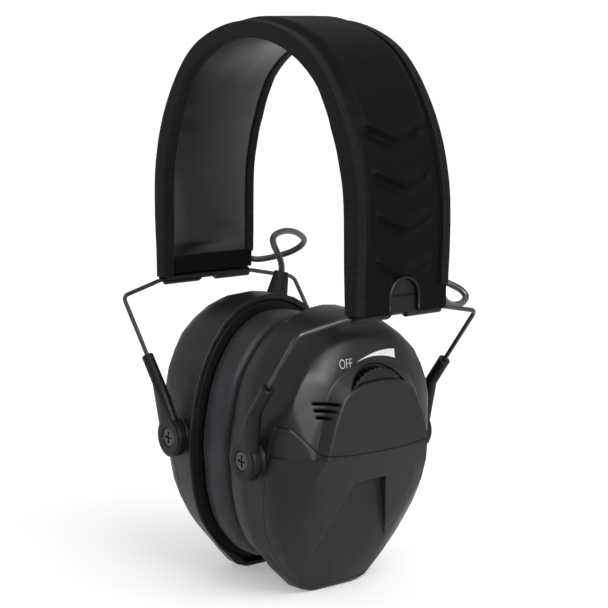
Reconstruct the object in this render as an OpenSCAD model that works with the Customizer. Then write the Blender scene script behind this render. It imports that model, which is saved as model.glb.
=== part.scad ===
// Folding electronic earmuff: padded headband, wire yokes, sliding stems and two cups.
// Right is +X, the cushions meet at X = 0, and the cups stand on Z = 0.

/* [Headband] */
// Width of the band over its edge bindings
band_w = 42; // [36:1:48]
// Outer radius of the arch
band_r = 59.5; // [57:0.5:62]
// Height of the arch's centre above the ground
arch_z = 143.5; // [137:0.5:150]
// Outward sweep of each leg at its end
leg_flare = 0.4; // [0.2:0.1:2]
// Length of each leg below the arch's centre
leg_len = 38; // [33:0.5:42]
// Thickness of the outer neoprene cover
cover_t = 2; // [1.8:0.1:3]
// Thickness of the sleeve between cover and pad, for strip and cable
core_t = 2.6; // [2.6:0.1:3.2]
// Thickness of the inner pad's flat cloth
pad_t = 1.5; // [1.2:0.1:3]
// Swell of the inner pad over its cloth
pad_swell = 2.6; // [1:0.1:3.5]
// Half width of the swollen part of the pad
pad_half = 15.5; // [12:0.5:17]
// Swell of the pillow on the outside of the crown
pillow_swell = 2.6; // [1:0.1:3.5]
// Angle of the leg side where the pillow ends
pillow_end = 24; // [15:1:40]
// Depth of the raised chevrons on the cover
chevron_t = 0.7; // [0.3:0.1:1.2]
// Distance from one chevron to the next
chevron_pitch = 15; // [13:0.5:18]
// Width of the binding's fold over each face
bind_lip = 3.4; // [2.5:0.1:4.5]
// Thickness of the binding tape
bind_t = 0.9; // [0.6:0.1:1.3]
// Width of the spring strip
strip_w = 24; // [18:1:25]
// Thickness of the spring strip
strip_t = 1.2; // [0.8:0.1:1.6]

/* [End caps] */
// Diameter of the barrel that the yoke wire turns in
barrel_d = 3.8; // [3.4:0.1:4.2]
// Length of the barrel along the wire
barrel_len = 39; // [34:0.5:39.5]
// Width of the notch in the middle of the barrel
barrel_notch = 11; // [6:0.5:16]
// Width of the plate that runs up the sleeve
cap_w = 28; // [27:0.5:29]
// Length of the plate above the barrel
cap_h = 13; // [9:0.5:18]

/* [Yokes] */
// Diameter of the spring wire
wire_d = 1.6; // [1.2:0.1:1.8]
// Radial clearance of the wire in its barrel and stems
wire_fit = 0.05; // [0.02:0.01:0.09]
// Distance of the yoke's axis from the centre plane
yoke_x = 55.5; // [54:0.5:57]
// Lean of the legs from the vertical, at rest
yoke_lean = 38; // [34:1:40]
// Half span of the two legs
leg_y = 40.4; // [40:0.2:43]
// Drop of the wire's corner below its axis
corner_drop = 5; // [3:0.5:8]
// Radius of the bends
bend_r = 3; // [2:0.5:5]
// Half length of the straight stretch through the barrel
straight_half = 21.5; // [21:0.5:24]
// Length of wire that stays inside a stem when it is drawn out
wire_hold = 14; // [10:0.5:18]
// Travel of the stems up the wire
stem_travel = 8; // [6:0.5:11]

/* [Stems] */
// Distance from the yoke's axis to the stem's mouth
stem_top = 30.7; // [28:0.5:34]
// Distance from the yoke's axis to the pivot, along the wire
pivot_drop = 61.5; // [58:0.5:64]
// Distance of the pivot outside the wire's line
pivot_off = 6; // [4:0.5:7]
// Diameter of the stem's tube
tube_d = 4.4; // [3.8:0.1:5]
// Diameter of the flat boss round the pivot
boss_d = 14.6; // [12:0.2:17]
// Thickness of the boss
boss_t = 3; // [2.4:0.1:3.6]
// Half span between the inner faces of the bosses
boss_in_y = 38; // [37.6:0.1:39]

/* [Pivots] */
// Diameter of the pivot screw's shank
screw_d = 3; // [2.5:0.1:4]
// Diameter of the screw's head
head_d = 6.6; // [5.5:0.1:8]
// Height of the screw's head
head_t = 1.5; // [1:0.1:1.8]
// Radial clearance of the shank in the boss
pivot_fit = 0.08; // [0.03:0.01:0.1]
// Diameter of the pad that carries the pivot
pad_d = 12; // [9:0.5:14]

/* [Cups] */
// Half width of the cup at its rim
cup_a = 36.5; // [35:0.1:36.8]
// Height of the cup above its pivot's level
cup_b = 54.4; // [52:0.2:57]
// Height of the widest part of the cup
cup_cz = 48.4; // [46:0.2:50]
// Distance of the rim from the centre plane
rim_x = 15.5; // [14:0.1:17]
// Depth of the cup from its rim to its face
cup_depth = 27.5; // [25:0.5:30]
// Height of the nose over the cup's face
nose_t = 4.8; // [3:0.2:6]
// Wall of the cup
wall = 1.8; // [1.4:0.1:2.4]
// Lean of the lower face from the vertical
face_lean = 22.7; // [19:0.1:25]
// Depth of the thumb scoop
scoop_t = 4.5; // [2:0.5:5]
// Half width of the thumb scoop's ledge
scoop_half = 7.3; // [5:0.1:10]
// Height of the thumb scoop's ledge
scoop_z = 44; // [40:0.5:47]
// Height of the seam over the lower cover
seam_z = 55.2; // [52:0.2:58]
// Gap of the seam
seam_gap = 0.2; // [0.15:0.05:0.4]
// Thickness of the lower cover
cover_wall = 1.6; // [1.2:0.1:2]

/* [Volume wheel] */
// Radius of the wheel
wheel_r = 13.2; // [11:0.1:14]
// Thickness of the wheel
wheel_t = 3.8; // [3:0.1:4.4]
// Height of the wheel's axis
wheel_z = 71.5; // [69:0.5:73]
// Number of ribs round the wheel
ribs = 36; // [24:1:48]
// Clearance round the wheel
wheel_gap = 0.4; // [0.3:0.05:0.6]

/* [Cushions] */
// Half width of the cushion
cushion_a = 33; // [30:0.5:33.4]
// Height of the cushion above the widest part of the cup
cushion_b = 50; // [47:0.5:50.4]
// Half width of the opening for the ear
ear_a = 17.5; // [15:0.5:19]
// Height of the opening for the ear above the widest part
ear_b = 32; // [28:0.5:36]
// Gap between the two cushions at rest
meet_gap = 0.3; // [0.2:0.05:0.6]

/* [Electronics] */
// Diameter of a battery cell
cell_d = 10.4; // [10:0.1:10.5]
// Length of a battery cell
cell_len = 44.4; // [44:0.1:44.5]
// Bore of the audio socket
jack_d = 3.6; // [3.5:0.05:3.7]
// Depth of the audio socket's bore
jack_len = 14; // [12:0.5:15]
// Diameter of the speaker
speaker_d = 27; // [22:0.5:30]
// Height of the speaker's axis
speaker_z = 61; // [56:0.5:66]
// Diameter of the cable
cable_d = 2.4; // [2:0.1:2.5]
// Distance of the strain relief from the centre plane
relief_x = 26; // [24:0.5:27]
// Distance of the strain relief behind the cup's middle
relief_y = 11.4; // [8:0.2:14]
// Lean of the strain relief to the rear
relief_lean = 15; // [8:1:22]
// Height of the strain relief
relief_h = 10; // [7:0.5:12]

/* [Hidden] */
seat = 0.05;
weld = 0.2;
bend_slim = 0.04;
band_t = cover_t + core_t + pad_t;
leg_x = band_r + leg_flare;
sleeve_x = leg_x - cover_t - core_t;
mid_x = rim_x + 11.5;
leg_r = (pow(leg_len, 2) + pow(leg_flare, 2)) / (2 * leg_flare);
leg_sweep = asin(leg_len / leg_r);
yoke_z = arch_z - leg_len - 0.3;
corner_run = leg_y - straight_half;
corner_slope = atan(corner_drop / corner_run);
ring_sides = 40;
egg_low = 0.88;
pivot_x = yoke_x - pivot_drop * sin(yoke_lean) + pivot_off * cos(yoke_lean);
pivot_z = yoke_z - pivot_drop * cos(yoke_lean) - pivot_off * sin(yoke_lean);
face_x = rim_x + cup_depth;
nose_x = face_x + nose_t;
wheel_x = nose_x - 0.7 - wheel_gap - wheel_t;
foot_x = nose_x - seam_z * tan(face_lean) - 0.6;
door_in = cover_wall + seam_gap;
lining = door_in + wall;
rebate = 2.2;
ledge_x = rim_x + 4;
ring_t = 1.9;
baffle_t = 1.5;
ring_x = rim_x + 0.4;
baffle_x = ledge_x - seat - baffle_t;
cell_gap = 0.3;
cell_x = -(scoop_t + cover_wall + seam_gap + 0.3 + cell_d / 2);
bay_half = cell_len / 2 + 2.6;
bay_z = seam_z - 26;
jack_x = 23.2;
jack_z = 39.5;
jack_y = 36.4;
jack_out = 6.4;
board_x = 33;
board_t = 1.2;
relief_z = cup_cz + cup_b - 3.7;
relief_w = 4.8;
relief_d = 8.4;
charcoal = "#3a3a3c";
black = "#1c1c1e";

// The right-hand side of a pair, or its mirror image
module on_side(side) {
    if (side > 0) children();
    else mirror([1, 0, 0]) children();
}

// ---- Headband: a cross-section swept over the arch and down both legs.
// In the cross-section, x is the depth in from the outer face and y runs along the width.

module arch(from = 0, to = 180) {
    rotate([90, 0, 0]) translate([0, arch_z, 0]) rotate([0, 0, from])
        rotate_extrude(angle = to - from, $fn = 96)
            translate([band_r, 0]) mirror([1, 0]) children();
}

module leg(side, from = 0, to = leg_sweep) {
    on_side(side) rotate([90, 0, 0]) translate([band_r + leg_r, arch_z, 0])
        rotate([0, 0, 180 + from]) rotate_extrude(angle = to - from, $fn = 720)
            translate([leg_r, 0]) children();
}

module whole_band() {
    arch() children();
    leg(1) children();
    leg(-1) children();
}

module span(depth, thick, half) {
    translate([depth, -half]) square([thick, 2 * half]);
}

module pillow_section() {
    polygon([[0.3, -16.5], [-pillow_swell * 0.55, -14], [-pillow_swell, -10], [-pillow_swell, 10],
        [-pillow_swell * 0.55, 14], [0.3, 16.5]]);
}

module pad_section() {
    top = cover_t + core_t + pad_t;
    polygon([[top - 0.3, -pad_half], [top + pad_swell * 0.6, -pad_half + 1.6],
        [top + pad_swell, -pad_half + 4.5], [top + pad_swell, pad_half - 4.5],
        [top + pad_swell * 0.6, pad_half - 1.6], [top - 0.3, pad_half]]);
}

module chevron(z) {
    for (s = [-1, 1]) translate([band_r - 12, 0, z]) rotate([s * 30, 0, 0])
        translate([0, s > 0 ? -0.4 : -13.5, -1.3]) cube([20, 13.9, 2.6]);
}

module headband_cover() {
    edge = band_w / 2 - bind_t - seat;
    color(black) difference() {
        union() {
            whole_band() span(0, cover_t, edge);
            arch(pillow_end, 180 - pillow_end) pillow_section();
            for (side = [-1, 1]) on_side(side) intersection() {
                union() {
                    leg(1) span(-chevron_t, chevron_t + 0.3, 13);
                    arch(0, pillow_end - 6) span(-chevron_t, chevron_t + 0.3, 13);
                }
                for (i = [0:2]) chevron(yoke_z + 12.8 + i * chevron_pitch);
            }
        }
        for (side = [-1, 1]) on_side(side) translate([leg_x - 10, 1, yoke_z - 0.7]) window_cut();
    }
}

// Arched window at the leg's end, through the cover
module window_cut() {
    rotate([90, 0, 90]) linear_extrude(14) {
        translate([-6.5, -2]) square([13, 8]);
        translate([0, 6]) circle(d = 13, $fn = 48);
    }
}

module headband_pad() {
    edge = band_w / 2 - bind_t - seat;
    cloth_stop = leg_sweep * (1 - (barrel_d / 2 + 0.1) / leg_len);
    swell_stop = leg_sweep * (1 - 9 / leg_len);
    color("#3b3835") union() {
        arch() span(cover_t + core_t, pad_t, edge);
        arch() pad_section();
        for (side = [-1, 1]) {
            leg(side, 0, cloth_stop) span(cover_t + core_t, pad_t, edge);
            leg(side, 0, swell_stop) pad_section();
        }
    }
}

module spring_strip() {
    strip_stop = leg_sweep * (1 - 6 / leg_len);
    color("#55585c") union() {
        arch() span(cover_t + 0.15, strip_t, strip_w / 2);
        for (side = [-1, 1]) leg(side, 0, strip_stop) span(cover_t + 0.15, strip_t, strip_w / 2);
    }
}

module binding_section() {
    in_edge = band_w / 2 - bind_t;
    translate([-bind_t / 2, in_edge]) square([band_t + bind_t, bind_t]);
    translate([-bind_t / 2, in_edge - bind_lip]) square([bind_t / 2 - seat, bind_lip]);
    translate([band_t + seat, in_edge - bind_lip]) square([bind_t / 2 - seat, bind_lip]);
}

// The rear binding stops short so that the cables can enter the sleeve
module binding(stop_short) {
    stop = leg_sweep * (1 - stop_short / leg_len);
    color("#2a292e") union() {
        arch() binding_section();
        for (side = [-1, 1]) leg(side, 0, stop) binding_section();
    }
}

// ---- End caps: the plate in the sleeve and the barrel for the wire

module end_cap(side) {
    plate_from = leg_sweep * (1 - cap_h / leg_len);
    plate_t = core_t - 2 * seat;
    color(charcoal) on_side(side) difference() {
        union() {
            leg(1, plate_from, leg_sweep) span(cover_t + seat, plate_t, cap_w / 2);
            translate([yoke_x, barrel_len / 2, yoke_z]) rotate([90, 0, 0])
                cylinder(d = barrel_d, h = barrel_len, $fn = 32);
            translate([sleeve_x + 0.25, 0.5 - cap_w / 2, yoke_z]) cube([core_t - 0.5, cap_w - 1, 1.2]);
        }
        leg(1, plate_from - 1, leg_sweep * (1 - 5.7 / leg_len))
            span(cover_t + 0.1, strip_t + 0.1, strip_w / 2 + 0.1);
        translate([yoke_x, barrel_len / 2 + 1, yoke_z]) rotate([90, 0, 0])
            cylinder(r = wire_d / 2 + wire_fit, h = barrel_len + 2, $fn = 32);
        barrel_notch_cut();
    }
}

module barrel_notch_cut() {
    half = barrel_notch / 2;
    translate([yoke_x - barrel_d, 0, yoke_z]) rotate([90, 0, 90]) linear_extrude(2 * barrel_d)
        polygon([[-half, -barrel_d], [half, -barrel_d], [half - 2.5, 0.3], [2.5 - half, 0.3]]);
}

// ---- Yokes: a bent wire in a plane, made of straights and true bends.
// Each straight runs a little way over its bend, which is a hair thinner.

function heading(a, b) = atan2(b[1] - a[1], b[0] - a[0]);
function turn(t) = t > 180 ? t - 360 : t < -180 ? t + 360 : t;

module bent_wire(pts, r, d) {
    n = len(pts);
    turns = [for (i = [1:n - 2]) turn(heading(pts[i], pts[i + 1]) - heading(pts[i - 1], pts[i]))];
    cuts = concat([0], [for (t = turns) r * tan(abs(t) / 2)], [0]);
    for (i = [0:n - 2]) {
        dir = heading(pts[i], pts[i + 1]);
        run = norm(pts[i + 1] - pts[i]) - cuts[i] - cuts[i + 1];
        translate([pts[i][0], pts[i][1], 0]) rotate([0, 0, dir]) translate([cuts[i] - weld, 0, 0])
            rotate([0, 90, 0]) cylinder(d = d, h = run + 2 * weld, $fn = 24);
    }
    for (i = [1:n - 2]) {
        t = turns[i - 1];
        before = heading(pts[i - 1], pts[i]);
        after = heading(pts[i], pts[i + 1]);
        bend = t > 0 ? 1 : -1;
        translate([pts[i][0], pts[i][1], 0]) rotate([0, 0, before])
            translate([-cuts[i], bend * r, 0]) rotate([0, 0, -before])
            rotate([0, 0, t > 0 ? before - 90 : after + 90])
            rotate_extrude(angle = abs(t), $fn = 48) translate([r, 0]) circle(d = d - bend_slim, $fn = 24);
    }
}

// Local frame of a yoke: Y along the wire's axis and -Z down the legs
module yoke_frame(side) {
    on_side(side) translate([yoke_x, 0, yoke_z]) rotate([0, yoke_lean, 0]) children();
}

module yoke_wire(side) {
    end_drop = stem_top + wire_hold;
    color("#6a6c70") yoke_frame(side) rotate([90, 0, 90]) bent_wire([[-leg_y, -end_drop],
        [-leg_y, -corner_drop], [-straight_half, 0], [straight_half, 0],
        [leg_y, -corner_drop], [leg_y, -end_drop]], bend_r, wire_d);
}

module stem(side, front) {
    boss_mid = boss_in_y + boss_t / 2;
    color(black) yoke_frame(side) mirror([0, front ? 1 : 0, 0]) difference() {
        union() {
            translate([0, leg_y, -stem_top - 14]) cylinder(d = tube_d, h = 14, $fn = 32);
            hull() {
                translate([0, leg_y, -stem_top - 17]) cylinder(d = tube_d, h = 6, $fn = 32);
                translate([pivot_off, boss_mid + 1, -pivot_drop]) rotate([90, 0, 0])
                    cylinder(d = boss_d * 0.78, h = 2, $fn = 32);
            }
            translate([pivot_off, boss_in_y + boss_t, -pivot_drop]) rotate([90, 0, 0])
                cylinder(d = boss_d, h = boss_t, $fn = 64);
            translate([pivot_off, boss_in_y + boss_t + 0.4, -pivot_drop]) rotate([90, 0, 0])
                cylinder(d = boss_d - 1.6, h = boss_t, $fn = 64);
        }
        translate([0, leg_y, -stem_top - wire_hold - stem_travel - 1])
            cylinder(r = wire_d / 2 + wire_fit, h = wire_hold + stem_travel + 2, $fn = 32);
        translate([pivot_off, boss_in_y + boss_t + 5, -pivot_drop]) rotate([90, 0, 0])
            cylinder(r = screw_d / 2 + pivot_fit, h = boss_t + 9, $fn = 32);
        translate([pivot_off, boss_in_y + boss_t + 5, -pivot_drop]) rotate([90, 0, 0])
            cylinder(d = head_d + 0.7, h = 5 + head_t - 0.1, $fn = 48);
        translate([pivot_off, boss_in_y, -pivot_drop]) rotate([90, 0, 0])
            cylinder(d = boss_d + 4, h = 8, $fn = 64);
    }
}

module pivot_screws(side) {
    head_y = boss_in_y + boss_t - head_t + 0.2;
    color("#4a4b4e") on_side(side) for (s = [-1, 1])
        mirror([0, s > 0 ? 0 : 1, 0]) translate([pivot_x, 0, pivot_z]) difference() {
            union() {
                translate([0, head_y + head_t, 0]) rotate([90, 0, 0])
                    cylinder(d = head_d, h = head_t, $fn = 48);
                translate([0, head_y + 0.1, 0]) rotate([90, 0, 0])
                    cylinder(d = screw_d, h = head_y - 33, $fn = 32);
            }
            for (a = [0, 90]) rotate([0, a, 0])
                translate([-2.1, head_y + head_t - 0.7, -0.45]) cube([4.2, 2, 0.9]);
        }
}

// ---- Cups. The form lies between the rim's oval, a crease round the face, and the face.

function sgnpow(v, e) = (v < 0 ? -1 : 1) * pow(abs(v), e);
// Egg outline: blunter and shorter below the cup's widest level
function egg_point(x, a, b, t) = let (low = sin(t) < 0, e = low ? 0.833 : 0.95, v = low ? egg_low * b : b)
    [x, a * sgnpow(cos(t), e), cup_cz + v * sgnpow(sin(t), e)];
function oval(a, b, floor = -99) = [for (j = [0:ring_sides - 1])
    let (p = egg_point(0, a, b, 360 * j / ring_sides)) [p[1], max(floor, p[2])]];

// A thin slice, or a prism, whose outline lies across X
module slice(x, pts, t = 0.02) {
    translate([x, 0, 0]) rotate([90, 0, 90]) linear_extrude(t) polygon(pts);
}

function mirrored(pts) = concat(pts, [for (i = [len(pts) - 1:-1:0]) [-pts[i][0], pts[i][1]]]);

// Crease above the seam: depth behind the face, half width, height
crease = [[1, 6, 94.2], [1.8, 12, 93.4], [3, 17.8, 91.2], [4, 23.3, 87.4], [4.8, 27.3, 81.6],
    [5.2, 30.3, 75.3], [5.5, 31.8, 69], [5.7, 31.9, 62], [6, 31.9, 55]];

// Outlines of the nose: foot and face, half width and height
nose_foot = [[0, 87.4], [9, 86.2], [15.5, 83], [19.2, 79.4], [20.7, 75], [22, 68.5], [24, 62], [26, 55]];
nose_face = [[0, 79.8], [7, 79.3], [12, 77.8], [15.5, 75.5], [17.6, 71.5], [19.6, 67], [21.4, 61.5],
    [23.3, 55]];

// Levels of the lower part: height, then half widths of rim, middle, crease and face
levels = [[55, 36.8, 35.8, 31.9, 23.3], [47.6, 36.7, 35.7, 31.5, 25.5], [40.2, 36.2, 34.9, 30.7, 26.3],
    [34.4, 35.5, 34.1, 29.5, 24.5], [28.3, 34.2, 32.4, 27, 20.5], [21.6, 31.8, 29.2, 22.8, 15.5],
    [16.9, 29, 25.9, 19.5, 13], [10, 23.8, 20.5, 15.5, 9], [5.5, 19.2, 17.5, 13.4, 6.5],
    [1.6, 15.4, 14.6, 12.6, 5.4], [0, 11, 10.4, 8.4, 3]];

// Fullness of the dome between its side and its crease: share of the way along X, and inwards
swell = [[0.36, 0.12], [0.66, 0.34], [0.88, 0.65]];

// Point of the dome's side that lies beside a point of the crease
function beside(y, z, a, b) = let (e = z < cup_cz ? 0.833 : 0.95, v = z < cup_cz ? egg_low * b : b,
    k = pow(pow(abs(y) / a, 2 / e) + pow(abs(z - cup_cz) / v, 2 / e), -e / 2)) [k * y, cup_cz + k * (z - cup_cz)];

function face_at(z) = z > seam_z ? nose_x : foot_x + z * tan(face_lean);
function crease_at(z) = z > 34 ? face_x - 6 - (seam_z - z) * 0.12 : face_at(z) - 1.5 - z * 0.055;

module level(row, in) {
    z = row[0] < 0.5 ? in : row[0];
    front = face_at(z) - in * 1.1 - (row[0] < 0.5 ? 1.8 : 0);
    mid = min(mid_x, crease_at(z) - in - 0.5);
    pts = concat([[rim_x - 1, row[1] - in], [rim_x, row[1] - in], [mid, row[2] - in]],
        [if (in == 0) for (w = swell) [mid + w[0] * (crease_at(z) - mid), row[2] + w[1] * (row[3] - row[2])]],
        [[crease_at(z) - in, row[3] - in], [front - 0.35, row[4] - in * 0.7], [front, max(row[4] - 6, 1.5)]]);
    trimmed = in > 0 ? pts : [for (i = [1:len(pts) - 1]) pts[i]];
    translate([0, 0, z]) linear_extrude(0.02)
        polygon(concat(trimmed, [for (i = [len(trimmed) - 1:-1:0]) [trimmed[i][0], -trimmed[i][1]]]));
}

module dome(in, foot) {
    hull() {
        slice(foot, oval(cup_a - in, cup_b - in, seam_z - 0.3));
        slice(rim_x, oval(cup_a - in, cup_b - in, seam_z - 0.3));
        slice(mid_x, oval(cup_a - 1 - in, cup_b - 0.3 - in, seam_z - 0.3));
        for (p = crease) for (s = [-1, 1]) {
            translate([face_x - p[0] - in, s * (p[1] - in), p[2] - in * (p[2] > 70 ? 0.8 : 0)])
                rotate([0, 0, s > 0 ? 180 : 90]) cube(0.02);
            q = beside(p[1], p[2], cup_a - 1, cup_b - 0.3);
            if (in == 0) for (w = swell)
                translate([mid_x + w[0] * (face_x - p[0] - mid_x), s * (q[0] + w[1] * (p[1] - q[0])),
                    q[1] + w[1] * (p[2] - q[1])]) rotate([0, 0, s > 0 ? 180 : 90]) cube(0.02);
        }
        slice(face_x - in, mirrored([for (p = nose_foot) [p[0] - in, p[1] - (p[1] > 70 ? in : 0)]]));
    }
    hull() for (row = levels) level(row, in);
}

// Raised nose above the seam
module nose(in) {
    hull() {
        slice(nose_x - in, mirrored([for (p = nose_face) [max(p[0] - in, 0), p[1] - (p[1] > 70 ? in : 0.2)]]));
        slice(face_x - 1 - in, mirrored([for (p = nose_foot) [max(p[0] - in, 0), p[1] - (p[1] > 70 ? in : 0.2)]]));
    }
}

// Frame of the lower face: X out of the face and Z up along it
module face_frame() {
    translate([foot_x, 0, 0]) rotate([0, face_lean, 0]) children();
}

module cup_form(in) {
    dome(in, rim_x - (in > 0 ? 1 : 0));
    nose(in);
}

// Thumb scoop: deep under its ledge and running out to nothing below
module scoop(grow) {
    top = scoop_z / cos(face_lean) + grow;
    face_frame() hull() {
        translate([-scoop_t - grow, -scoop_half - grow, top])
            cube([scoop_t + grow + 9, 2 * (scoop_half + grow), 0.02]);
        translate([-grow, -scoop_half - 11 - grow, top - grow - 33])
            cube([grow + 9, 2 * (scoop_half + 11 + grow), 0.02]);
    }
}

// The zone of the lower cover: below the seam and outside a leaning plane
module lower_zone(grow) {
    half = [[0, seam_z], [13, seam_z + 0.3], [24, seam_z + 1.5], [31.5, seam_z + 10.5],
        [42, seam_z + 11.3]];
    intersection() {
        translate([0, 0, grow]) rotate([90, 0, 90]) linear_extrude(80)
            polygon(concat([[-42, 2.5 - 2 * grow]], [for (i = [4:-1:1]) [-half[i][0], half[i][1]]], half,
                [[42, 2.5 - 2 * grow]]));
        translate([19.9 - grow, 0, 0]) rotate([0, 10, 0]) translate([0, -60, -10]) cube([80, 120, 120]);
    }
}

module vents() {
    for (i = [0:2]) translate([face_x - 6, -24.3 + i * 0.4, 74.2 - i * 2.4]) rotate([-4, 0, 0]) hull()
        for (y = [0, 6.8 - i * 1.8]) translate([0, y, 0]) rotate([0, 90, 0]) cylinder(d = 1.1, h = 10, $fn = 12);
}

module volume_slot() {
    translate([wheel_x - wheel_gap, 0, wheel_z]) rotate([0, 90, 0])
        cylinder(r = wheel_r + 1, h = wheel_t + 2 * wheel_gap, $fn = 72);
    translate([board_x, 0, wheel_z]) rotate([0, 90, 0]) cylinder(d = 7, h = wheel_x - board_x, $fn = 32);
}

module pivot_pads(extra) {
    for (s = [-1, 1]) mirror([0, s > 0 ? 0 : 1, 0])
        translate([pivot_x, boss_in_y - 0.3, pivot_z]) rotate([90, 0, 0])
            cylinder(d = pad_d + extra, h = 7, $fn = 32);
}

module pivot_holes() {
    for (s = [-1, 1]) mirror([0, s > 0 ? 0 : 1, 0])
        translate([pivot_x, boss_in_y + 1, pivot_z]) rotate([90, 0, 0])
            cylinder(d = screw_d + 0.1, h = 9, $fn = 24);
}

// Battery bay behind the lower cover: its box, and the pocket for the cells
module bay(grow) {
    face_frame() translate([cell_x - cell_d / 2 - cell_gap - grow, -bay_half - grow, bay_z - grow])
        cube([cell_d + cell_gap + 2 * grow + (grow > 0 ? 0 : 30), 2 * (bay_half + grow),
            2 * cell_d + 3 * cell_gap + 2 * grow]);
}

module cup_shell(side) {
    color(charcoal) on_side(side) difference() {
        union() {
            difference() {
                cup_form(0);
                lower_zone(seam_gap);
            }
            intersection() {
                cup_form(door_in);
                lower_zone(seam_gap + 1.5);
            }
            pivot_pads(0);
        }
        difference() {
            dome(lining, rim_x - 3);
            posts();
            if (side > 0) bay(wall);
            translate([wheel_x - 2.4, -24, seam_z + 2]) cube([20, 48, 50]);
        }
        slice(rim_x - 1, oval(cup_a - rebate, cup_b - rebate, wall), ledge_x - rim_x + 1);
        if (side > 0) bay(0);
        scoop(cover_wall + seam_gap);
        pivot_holes();
        vents();
        relief_hole();
        if (side > 0) volume_slot();
        if (side < 0) jack_hole();
    }
}

// Posts that carry the circuit board
module posts() {
    for (p = [[16, 64.5], [9, 84.5]]) for (s = [-1, 1]) translate([board_x + board_t + seat, s * p[0], p[1]])
        rotate([0, 90, 0]) cylinder(d = 4, h = 12, $fn = 20);
}

module jack_hole() {
    translate([jack_x, 15, jack_z]) rotate([-90, 0, 0]) cylinder(d = jack_out + 2 * seat, h = 30, $fn = 48);
}

// Frame of the strain relief: Z out of the dome
module relief_frame() {
    translate([relief_x, relief_y, relief_z]) rotate([-relief_lean, 0, 0]) children();
}

module relief_hole() {
    relief_frame() {
        translate([0, 0, -5]) cylinder(d = cable_d + 1.2 + 2 * seat, h = 7, $fn = 24);
        translate([-relief_w / 2 - seat, -relief_d / 2 - seat, -seat])
            cube([relief_w + 2 * seat, relief_d + 2 * seat, 6]);
    }
}

module lower_cover(side) {
    color(charcoal) on_side(side) difference() {
        intersection() {
            cup_form(0);
            lower_zone(0);
        }
        difference() {
            cup_form(cover_wall);
            scoop(cover_wall);
        }
        scoop(0);
        pivot_pads(1);
    }
}

module volume_wheel() {
    color("#2e2e30") translate([wheel_x, 0, wheel_z]) rotate([0, 90, 0]) difference() {
        cylinder(r = wheel_r, h = wheel_t, $fn = 96);
        translate([0, 0, -1]) cylinder(d = 4.1, h = wheel_t + 0.2, $fn = 32);
        for (i = [0:ribs - 1]) rotate([0, 0, 360 * i / ribs]) translate([wheel_r + 0.25, 0, -1])
            cylinder(r = 0.7, h = wheel_t + 2, $fn = 16);
    }
}

module volume_pot() {
    color("silver") translate([board_x + board_t + seat, 0, wheel_z]) rotate([0, 90, 0]) {
        cylinder(d = 13, h = 3, $fn = 48);
        cylinder(d = 6.4, h = wheel_x - wheel_gap - board_x - board_t + 0.3, $fn = 32);
        cylinder(d = 4, h = wheel_x - board_x - board_t + wheel_t - 1.2, $fn = 32);
    }
}

// ---- Cushions and what lies inside the cups

module cushion(side) {
    deep = ring_x - meet_gap / 2 - seat;
    turns = 40;
    n = 12;
    mid = meet_gap / 2 + deep / 2;
    pts = [for (i = [0:turns - 1]) for (j = [0:n - 1]) let (t = 360 * i / turns, f = 360 * j / n,
        w = sgnpow(cos(f), 0.6), x = mid + deep / 2 * sgnpow(sin(f), 0.6),
        a = (cushion_a + ear_a) / 2 + w * (cushion_a - ear_a) / 2,
        b = (cushion_b + ear_b) / 2 + w * (cushion_b - ear_b) / 2)
        egg_point(x, a, b, t)];
    faces = [for (i = [0:turns - 1]) for (j = [0:n - 1])
        let (i2 = (i + 1) % turns, j2 = (j + 1) % n)
        each [[i * n + j, i * n + j2, i2 * n + j2], [i * n + j, i2 * n + j2, i2 * n + j]]];
    color("#3d4046") on_side(side) polyhedron(points = pts, faces = faces);
}

module oval_plate(x, t, in, a, b) {
    difference() {
        slice(x, oval(cup_a - rebate - in, cup_b - rebate - in, wall + in), t);
        if (a > 0) slice(x - 1, oval(a, b), t + 2);
    }
}

module cushion_ring(side) {
    color(black) on_side(side) oval_plate(ring_x, ring_t, 0.3, ear_a + 2, ear_b + 2);
}

module baffle(side) {
    color("#303034") on_side(side) difference() {
        oval_plate(baffle_x, baffle_t, 0.2, 0, 0);
        translate([baffle_x - 1, 0, speaker_z]) rotate([0, 90, 0])
            cylinder(d = speaker_d - 3, h = baffle_t + 2, $fn = 48);
    }
}

module ear_foam(side) {
    color("#4a4b4d") on_side(side) slice(ring_x - 6, oval(ear_a - 0.4, ear_b - 0.4), 6 + ring_t);
}

module speaker(side) {
    color("silver") on_side(side) translate([ledge_x, 0, speaker_z]) rotate([0, 90, 0]) {
        cylinder(d = speaker_d, h = 3, $fn = 48);
        cylinder(d = speaker_d * 0.6, h = 5.4, $fn = 48);
    }
}

module circuit_board(side) {
    color("#2f6b42") on_side(side) difference() {
        slice(board_x, [[-21, 61], [21, 61], [21, 78], [12, 88], [-12, 88], [-21, 78]], board_t);
    }
}

module microphone(side) {
    color("silver") on_side(side) translate([board_x + board_t + seat, -18, 71.5]) rotate([0, 90, 0])
        cylinder(d = 6, h = 2.8, $fn = 32);
}

module battery_cells() {
    color("#b08a4a") face_frame() for (i = [0, 1])
        translate([cell_x, 0, bay_z + cell_gap + cell_d / 2 + i * (cell_d + cell_gap)])
        rotate([i == 0 ? 90 : -90, 0, 0]) {
            translate([0, 0, -cell_len / 2]) cylinder(d = cell_d, h = cell_len - 0.8, $fn = 48);
            translate([0, 0, cell_len / 2 - 0.9]) cylinder(d = 3.8, h = 0.9, $fn = 24);
        }
}

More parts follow.
